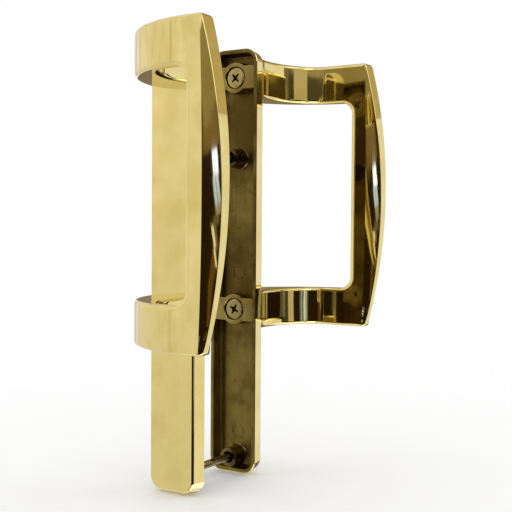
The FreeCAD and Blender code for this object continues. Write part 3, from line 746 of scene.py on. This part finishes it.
def wall_profile(inset, first, depth, radius):
    """(inset, depth) from depth `first` down a drafted wall and round into a flat at `depth`."""
    profile = [(inset, first)]
    centre_h = depth - radius
    centre_i = inset + centre_h * DRAFT + radius / math.cos(DRAFT_ANGLE)
    for i in range(WALL_STEPS + 1):
        a = DRAFT_ANGLE + (math.pi / 2 - DRAFT_ANGLE) * i / WALL_STEPS
        profile.append((centre_i - radius * math.cos(a), centre_h + radius * math.sin(a)))
    return profile


def plate_piece(half, outward, polished, cast):
    """A tray with a drafted wall; the interior one has a cone seat for each bolt's head."""
    shell = Shell()
    outside = wall_profile(0.0, RIM_BREAK_OUT, PLATE_DEPTH, FRONT_ROUND)
    inside = wall_profile(WALL, RIM_BREAK_IN, FLOOR, FLOOR_ROUND)
    outer = [shell.loop(plate_loop(outward, i, h)) for i, h in outside]
    inner = [shell.loop(plate_loop(outward, i, h)) for i, h in inside]
    rim_out = shell.loop(plate_loop(outward, RIM_BREAK_OUT, 0.0))
    rim_in = shell.loop(plate_loop(outward, WALL - RIM_BREAK_IN, 0.0))
    shell.stack(outer)
    shell.stack(inner, 1)
    shell.bridge(rim_out, outer[0])
    shell.bridge(rim_out, rim_in, 1)
    shell.bridge(rim_in, inner[0], 1)
    holes = []
    if outward > 0:
        for z in (UPPER_BOLT, LOWER_BOLT):
            mouth = shell.loop(ring_loop(outward, SEAT_MOUTH, PLATE_DEPTH, z))
            throat = shell.loop(ring_loop(outward, SEAT_BORE, PLATE_DEPTH - SEAT_DEPTH, z))
            bottom = shell.loop(ring_loop(outward, SEAT_BORE, FLOOR + SEAT_OVERLAP, z))
            shell.stack([mouth, throat, bottom])
            shell.cap(bottom)
            holes.append(mouth)
    shell.cap(outer[-1], holes)
    shell.cap(inner[-1], kind=1)
    piece = shell.piece(f"{half}_plate_fine", [polished, cast], PLATE_SHARP)
    place(piece, f"{half}_plate")


def rib_outline():
    """A rib with a round boss in its middle, as (x, height) about the screw."""
    swell = math.sqrt(RIB_BOSS ** 2 - RIB_HALF ** 2)
    start = math.atan2(RIB_HALF, swell)
    ends, sides = RIB_END_STEPS, RIB_SIDE_STEPS
    outline = []
    for sign in (1, -1):
        outline += [(sign * RIB_REACH, -sign * RIB_HALF * (1 - 2 * i / ends)) for i in range(ends + 1)]
        for i in range(1, sides):
            outline.append((sign * (RIB_REACH + (swell - RIB_REACH) * i / sides), sign * RIB_HALF))
        for i in range(RIB_BOSS_STEPS + 1):
            a = start + (math.pi - 2 * start) * i / RIB_BOSS_STEPS
            outline.append((sign * RIB_BOSS * math.cos(a), sign * RIB_BOSS * math.sin(a)))
        for i in range(1, sides):
            outline.append((-sign * (swell + (RIB_REACH - swell) * i / sides), sign * RIB_HALF))
    return outline


def rib_piece(half, outward, z, name, rib):
    """A cross rib with the counterbore of a screw's head in its boss."""
    shell = Shell()
    outline = rib_outline()

    def level(h, inset):
        points = []
        for x, up in outline:
            r = math.hypot(x, up)
            k = (r - inset) / r
            points.append((x * k, at_depth(outward, h), z + up * k))
        return shell.loop(points)

    def circle(radius, h):
        return shell.loop([
            (radius * x / math.hypot(x, up), at_depth(outward, h), z + radius * up / math.hypot(x, up))
            for x, up in outline
        ])

    loops = [level(h, inset) for h, inset in RIB_FOOT + RIB_EDGE]
    loops.append(circle(COUNTERBORE_BREAK, RIB_TOP))
    loops.append(circle(COUNTERBORE, RIB_TOP + COUNTERBORE_EDGE))
    loops.append(circle(COUNTERBORE, SEAT))
    first, last = shell.stack(loops)
    shell.cap(first)
    shell.cap(last)
    # the rib's lighter cast brass is painted light
    place(shell.piece(f"{half}_rib_{name}", [rib], RIB_SHARP))


def lathe(shell, outward, z, profile, steps=ROUND_STEPS):
    """Turn (radius, depth) pairs about the Y axis; gives the first and last loops."""
    return shell.stack([shell.loop(ring_loop(outward, r, h, z, steps)) for r, h in profile])


def boss_piece(half, outward, z, name, boss):
    """A tubular boss round a bolt, with a fillet at its foot."""
    bore = BOSS_BORES[outward]
    shell = Shell()
    inside = ((bore, BOSS_BOTTOM), (bore, BOSS_BREAK), (bore + BOSS_FLARE, BOSS_TOP))
    first, last = lathe(shell, outward, z, inside + BOSS_OUTSIDE)
    shell.cap(first)
    shell.cap(last)
    place(shell.piece(f"{half}_boss_{name}", [boss], BOSS_SHARP))


def mark_piece(half, outward, z, radius, name, cast):
    """A faint raised ring that the mould leaves on the tray's floor."""
    shell = Shell()
    first, last = lathe(shell, outward, z, [(radius + way, FLOOR - rise) for way, rise in MARK_RIDGE])
    shell.bridge(last, first)
    place(shell.piece(f"{half}_{name}", [cast], MARK_SHARP))


def cross_outline(span, wing, flare):
    """A cross whose four wings widen a little towards the middle."""
    a, b, c = span / 2, wing / 2, wing / 2 + flare
    far, near = c + CROSS_SOFT, b + CROSS_SLIGHT
    quarter = [(a, -b), (a, b), (far, near), (c, c), (near, far)]
    points = []
    for k in range(4):
        ca, sa = round(math.cos(k * math.pi / 2)), round(math.sin(k * math.pi / 2))
        points += [(x * ca - y * sa, x * sa + y * ca) for x, y in quarter]
    return points


def screw_piece(half, outward, z, name, metal, recess):
    """A flat-topped head with a round edge and a tapered cross recess, and its shank."""
    shell = Shell()
    ct, st = math.cos(SCREW_TURNS[name]), math.sin(SCREW_TURNS[name])

    def cross(scale, h):
        return shell.loop([
            ((x * ct + y * st) * scale, at_depth(outward, h), z + (-x * st + y * ct) * scale)
            for x, y in cross_outline(*SCREW_CROSS)
        ])

    head = tuple((radius, HEAD_TOP + below) for radius, below in HEAD)
    first, last = lathe(shell, outward, z, head + HEAD_FOOT + SHANK, HEAD_STEPS)
    mouth, deep = cross(1.0, HEAD_TOP), cross(SCREW_CROSS_TAPER, HEAD_TOP + SCREW_CROSS_DEPTH)
    shell.cap(first, [mouth])
    # the recess's walls and floor take the second material, which is painted shade
    shell.bridge(mouth, deep, 1)
    shell.cap(deep, kind=1)
    shell.cap(last)
    piece = shell.piece(f"{half}_pull_screw_{name}_fine", [metal, recess], SCREW_SHARP)
    place(piece, f"{half}_pull_screw_{name}")


def bolt_piece(z, name, metal, recess):
    """A countersunk bolt with a cross recess and a rolled thread towards its tip."""
    shell = Shell()
    top = PLATE_DEPTH

    def cross(scale, h):
        return shell.loop([
            (x * scale, at_depth(1.0, h), z + y * scale) for x, y in cross_outline(*BOLT_CROSS)
        ])

    cone_foot, shank_end = top - BOLT_HEAD_DEPTH, THREAD_START + THREAD_LEAD
    head = ((BOLT_HEAD, top), (BOLT_RADIUS, cone_foot), (BOLT_RADIUS, shank_end))
    loops = [shell.loop(ring_loop(1.0, r, h, z, BOLT_SIDES)) for r, h in head]
    rows = int((THREAD_START - BOLT_TIP) / THREAD_PITCH * THREAD_ROWS_A_TURN)
    for i in range(rows + 1):
        h = THREAD_START + (BOLT_TIP - THREAD_START) * i / rows
        fade = min(1.0, i / THREAD_FADE_ROWS, (rows - i) / THREAD_FADE_ROWS)
        points = []
        for k in range(BOLT_SIDES):
            a = 2 * math.pi * k / BOLT_SIDES
            phase = (h / THREAD_PITCH - k / BOLT_SIDES) % 1.0
            r = BOLT_RADIUS - THREAD_DEPTH * fade * abs(2 * phase - 1)
            points.append((r * math.cos(a), at_depth(1.0, h), z + r * math.sin(a)))
        loops.append(shell.loop(points))
    first, last = shell.stack(loops)
    mouth, deep = cross(1.0, top), cross(BOLT_CROSS_TAPER, top - BOLT_CROSS_DEPTH)
    shell.cap(first, [mouth])
    # the recess's walls and floor take the second material, which is painted shade
    shell.bridge(mouth, deep, 1)
    shell.cap(deep, kind=1)
    shell.cap(last)
    piece = shell.piece(f"through_bolt_{name}_fine", [metal, recess], BOLT_SHARP)
    place(piece, f"through_bolt_{name}")


# stage
def stage_mesh(name, corners, faces, material):
    """A mesh of the surroundings, which isn't part of the object."""
    thing = link_mesh(name, corners, faces, [material])
    return thing


def plain_glow(name, level):
    """An even glow."""
    material, graph = new_material(name)
    graph.glow(opaque(level))
    return material


# a cloudy glow: noises, shares of the level where it is dim, soft and low, and heights in metres
CLOUDY_BROAD = (2.2, 3.0, 0.5, 0.3, 0.65)
CLOUDY_PUFFS = (11.0, 4.0, 0.55, 0.3, 0.66)
CLOUDY_DIM, CLOUDY_DIM_SHARE = (0.74, 0.72, 0.66), 0.6
CLOUDY_SOFT = (0.90, 0.88, 0.84)
CLOUDY_LOW, CLOUDY_LOW_SHARE = (0.78, 0.78, 0.78), 0.75
CLOUDY_HEIGHTS = (-0.55, 0.12)


def cloudy_glow(name, level):
    """A soft uneven glow, a little darker low down."""
    material, graph = new_material(name)
    where = graph.where()
    broad = graph.patches(where, *CLOUDY_BROAD)
    puffs = graph.patches(where, *CLOUDY_PUFFS)
    dim, soft, low = (opaque(shaded(level, shares)) for shares in (CLOUDY_DIM, CLOUDY_SOFT, CLOUDY_LOW))
    colour = graph.mix(broad, soft, opaque(level))
    colour = graph.mix(puffs, graph.mix(CLOUDY_DIM_SHARE, colour, dim), colour)
    height = graph.add("ShaderNodeSeparateXYZ", {"Vector": where}).outputs["Z"]
    lowered = graph.mix(CLOUDY_LOW_SHARE, colour, low)
    graph.glow(graph.mix(graph.ramp(height, *CLOUDY_HEIGHTS), lowered, colour))
    return material


CARD_STEP = 4.0


def card(name, azimuths, elevations, level, distance, cloudy, slope=0.0):
    """A curved card that only reflections see.

    Azimuth 0 is in front of the exterior half, and +90 is the grips' side. `slope` is how many
    degrees the card climbs for each degree of azimuth.
    """
    steps = max(1, math.ceil((azimuths[1] - azimuths[0]) / CARD_STEP))
    corners, faces = [], []
    for i in range(steps + 1):
        turned = (azimuths[1] - azimuths[0]) * i / steps
        a = math.radians(azimuths[0] + turned)
        for elevation in elevations:
            rise = distance * math.tan(math.radians(elevation + slope * turned))
            corners.append((distance * math.sin(a), -distance * math.cos(a), rise))
        if i:
            faces.append((2 * i - 2, 2 * i, 2 * i + 1, 2 * i - 1))
    material = cloudy_glow(name, level) if cloudy else plain_glow(name, level)
    thing = stage_mesh(name, corners, faces, material)
    thing.visible_camera = False
    thing.visible_diffuse = False
    thing.visible_shadow = False


# name: azimuths and elevations in degrees, glow, distance in metres, cloudy
CARDS = {
    # the bright side that the polished fronts mirror, with a few paler and darker strips
    "left_bright": ((-128, -32), (-45, 48), (1.06, 1.04, 0.99), 2.30, True),
    "left_strip_a": ((-53, -50), (-40, 40), (0.80, 0.78, 0.72), 2.20, False),
    "left_strip_b": ((-128, -118), (-40, 40), (0.70, 0.69, 0.68), 2.20, False),
    "left_strip_c": ((-108, -104), (-40, 40), (0.78, 0.76, 0.74), 2.20, False),
    # the dark side that the facets and the arms mirror
    "front_dark": ((-31, 120), (-34, 5.0), (0.022, 0.013, 0.005), 2.00, False),
    "front_brown": ((-31, -5), (5.0, 7.2), (0.215, 0.150, 0.065), 1.95, False),
    "front_dim": ((-6, 73), (5.0, 12.0), (0.085, 0.070, 0.045), 1.96, False),
    "front_olive": ((-31, -5), (7.2, 17), (0.33, 0.275, 0.15), 1.94, False),
    # the cool highlight in the middle of the facets and the warm glows below it
    "cool_top": ((-20.0, -13.5), (3.0, 4.9), (1.8, 2.1, 4.6), 1.80, False),
    "cool_low": ((-18.7, -12.0), (0.8, 3.0), (0.68, 0.88, 1.80), 1.80, False),
    "cool_bar": ((-15.8, -15.1), (0.8, 3.6), (0.16, 0.22, 0.40), 1.78, False),
    "cool_foot": ((-18.2, -11.8), (-0.6, 0.8), (0.37, 0.34, 0.27), 1.80, False),
    "glow_gold": ((-15.0, -8.5), (-2.3, -0.6), (0.18, 0.145, 0.06), 1.85, False),
    "glow_tan": ((-11.0, -7.8), (-4.0, -2.3), (0.23, 0.165, 0.08), 1.85, False),
    "streak_upper": ((-7.8, -5.2), (-3.6, -1.9), (1.1, 1.05, 1.1), 1.80, False),
    "streak_lower": ((-6.0, -4.0), (-6.4, -3.6), (1.1, 1.0, 0.95), 1.80, False),
    "glow_right": ((44, 64), (-31, -21), (0.13, 0.085, 0.035), 1.85, True),
    # upright strips on the right, some dark and some bright
    "right_low_a": ((60, 86), (-14, 2), (0.15, 0.18, 0.24), 1.95, False),
    "right_low_b": ((97, 107), (-14, 2), (0.62, 0.54, 0.42), 1.95, False),
    "right_low_c": ((107, 117), (-14, 2), (0.07, 0.065, 0.05), 1.95, False),
    "right_low_d": ((69.0, 72.5), (-12, 1), (1.1, 1.15, 1.4), 1.90, False),
    "right_low_e": ((76.0, 79.5), (-12, 1), (0.9, 1.0, 1.5), 1.90, False),
    "right_low_f": ((82.5, 84.0), (-12, 1), (0.5, 0.55, 0.7), 1.90, False),
    "right_middle_a": ((73, 99), (2, 14), (0.58, 0.52, 0.35), 1.95, False),
    "right_middle_b": ((99, 109), (2, 11.8), (0.06, 0.055, 0.035), 1.95, False),
    "right_middle_c": ((109, 118), (2, 11.8), (0.20, 0.165, 0.09), 1.95, False),
    "right_high_a": ((-6, 73), (12.0, 16), (0.43, 0.38, 0.25), 1.94, True),
    "right_high_b": ((99, 118), (11.8, 16), (0.60, 0.54, 0.33), 1.94, True),
    # the glare that the arms' undersides and the edges mirror
    "glare_low_a": ((20, 72), (-72, -36), (2.8, 2.8, 2.9), 1.90, False),
    "glare_low_b": ((88, 108), (-72, -36), (2.8, 2.8, 2.9), 1.90, False),
    "glare_low_c": ((122, 160), (-72, -32), (2.4, 2.4, 2.4), 1.90, False),
    "glare_high_a": ((48, 84), (17, 50), (2.2, 2.2, 2.3), 1.90, False),
    "glare_high_b": ((104, 118), (17, 50), (1.8, 1.8, 1.9), 1.90, False),
    # the far side, which the half in front mirrors only in its tray and edges
    "back_dim": ((172, 226), (-40, 60), (0.29, 0.235, 0.15), 2.10, True),
    "back_warm": ((140, 172), (15, 60), (0.66, 0.56, 0.34), 2.12, True),
    # the brown glow that runs down the lower half of each facet
    "glow_brown": ((-4.0, 37.0), (-6.6, -3.1), (0.17, 0.092, 0.018), 1.86, True, -0.35),
}

FLOOR_WHITE, FLOOR_PALE = (1.0, 1.0, 1.0), (0.995, 0.995, 0.995)
FLOOR_PATCHES = (30.0, 2.0, 0.5, NOISE_LOW, NOISE_HIGH)
FLOOR_ROUGHNESS = 0.9
# half the floor's side and its way below the object, in metres
FLOOR_HALF, FLOOR_GAP = 6.0, 0.0005


def make_floor():
    """A plain pale floor just below the object."""
    material, graph = new_material("floor")
    specks = graph.patches(graph.where(), *FLOOR_PATCHES)
    colour = graph.mix(specks, opaque(FLOOR_PALE), opaque(FLOOR_WHITE))
    inputs = {"Base Color": colour, "Roughness": FLOOR_ROUGHNESS, "Specular IOR Level": 0.0}
    graph.finish(graph.add("ShaderNodeBsdfPrincipled", inputs))
    z = cad_box[0].z - FLOOR_GAP
    corners = [(x * FLOOR_HALF, y * FLOOR_HALF, z) for x, y in ((-1, -1), (1, -1), (1, 1), (-1, 1))]
    stage_mesh("floor", corners, [(0, 1, 2, 3)], material).visible_glossy = False


def make_world():
    """Even white light from all sides."""
    world = bpy.data.worlds.new("world")
    bpy.context.scene.world = world
    world.use_nodes = True
    graph = Graph(world.node_tree)
    back = graph.add("ShaderNodeBackground", {"Color": opaque(FLOOR_WHITE), "Strength": 1.0})
    graph.finish(back, "ShaderNodeOutputWorld")


def make_stage():
    make_floor()
    make_world()
    for name, values in CARDS.items():
        card(name, *values)


def make_object():
    """The ten pieces, with the ribs, bosses and marks of the plates."""
    polished = polished_material("brass_polished")
    cast = cast_material("brass_cast", *CAST)
    boss = cast_material("brass_boss", *BOSS)
    # the ribs' lighter cast brass is painted light
    rib = cast_material("brass_rib_lit", *RIB_LIT)
    screw = small_material("screw_metal", *SCREW)
    # the cross recesses' material is painted shade, not a metal of its own
    recess = small_material("recess_painted_shade", *RECESS_SHADE)
    bolt = small_material("bolt_metal", *BOLT)
    for half, outward in (("exterior", -1.0), ("interior", 1.0)):
        pull_piece(half, outward, polished)
        plate_piece(half, outward, polished, cast)
        for name, z in (("upper", UPPER_SCREW), ("lower", LOWER_SCREW)):
            rib_piece(half, outward, z, name, rib)
            screw_piece(half, outward, z, name, screw, recess)
        for name, z in (("upper", UPPER_BOLT), ("lower", LOWER_BOLT)):
            boss_piece(half, outward, z, name, boss)
        for name, z, radius in MARKS:
            mark_piece(half, outward, z, radius, name, cast)
    for name, z in (("upper", UPPER_BOLT), ("lower", LOWER_BOLT)):
        bolt_piece(z, name, bolt, recess)


make_camera()
make_stage()
make_object()
bpy.context.scene.view_settings.view_transform = "Standard"
